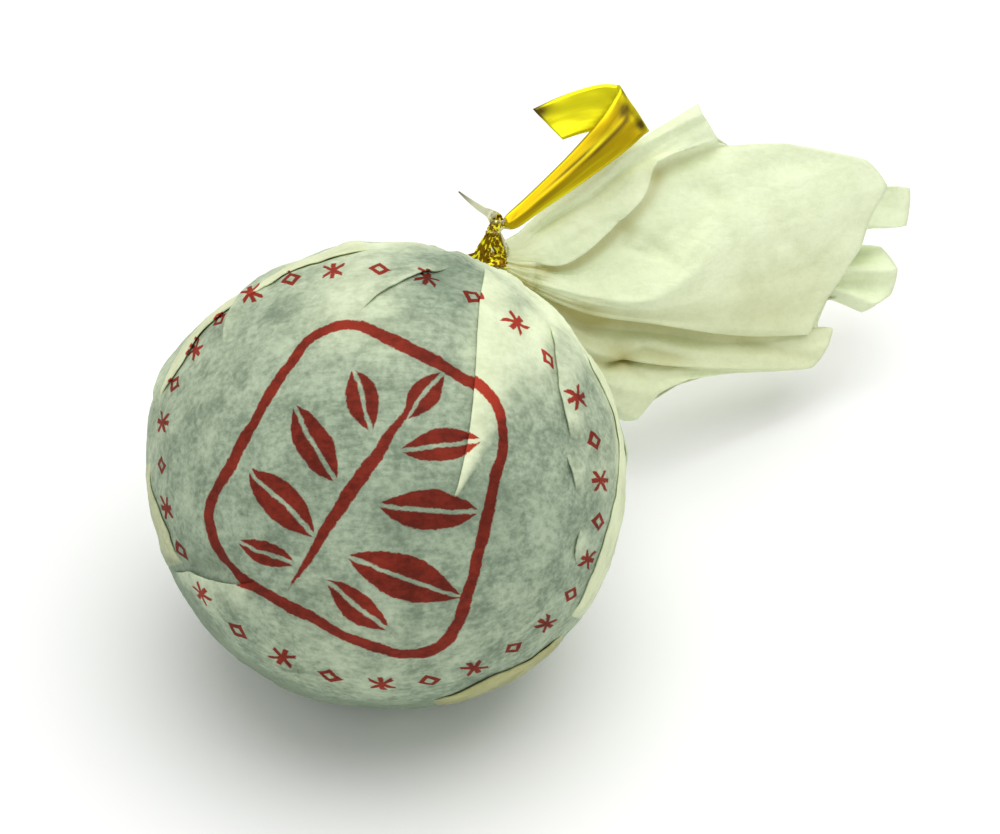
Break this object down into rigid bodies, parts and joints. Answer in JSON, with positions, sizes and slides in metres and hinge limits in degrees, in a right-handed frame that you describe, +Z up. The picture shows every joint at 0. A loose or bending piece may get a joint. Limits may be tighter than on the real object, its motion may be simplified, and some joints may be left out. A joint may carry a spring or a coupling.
{
  "type": "paper-wrapped tea pearl",
  "caption": "Ball of pressed dark tea wrapped in thin printed paper, gathered into a fanned tail and tied with a gold foil strip.",
  "frame": {"origin": "middle of the small flat spot that the ball rests on", "axes": "+Z up, away from the surface it rests on; +X towards the right, the way the fanned tail points; +Y to the back, away from the person who looks at the printed side"},
  "size_m": [0.0476, 0.0442, 0.0295],
  "materials": {
    "paper": "thin fibrous cream tissue, matt, dark tea showing through where it is one layer, red print",
    "gold_foil": "bright yellow gold foil on a thin strip, creased"
  },
  "bodies": {
    "root": {"paper_wrapper": "paper", "gold_tie": "gold_foil"}
  },
  "joints": []
}
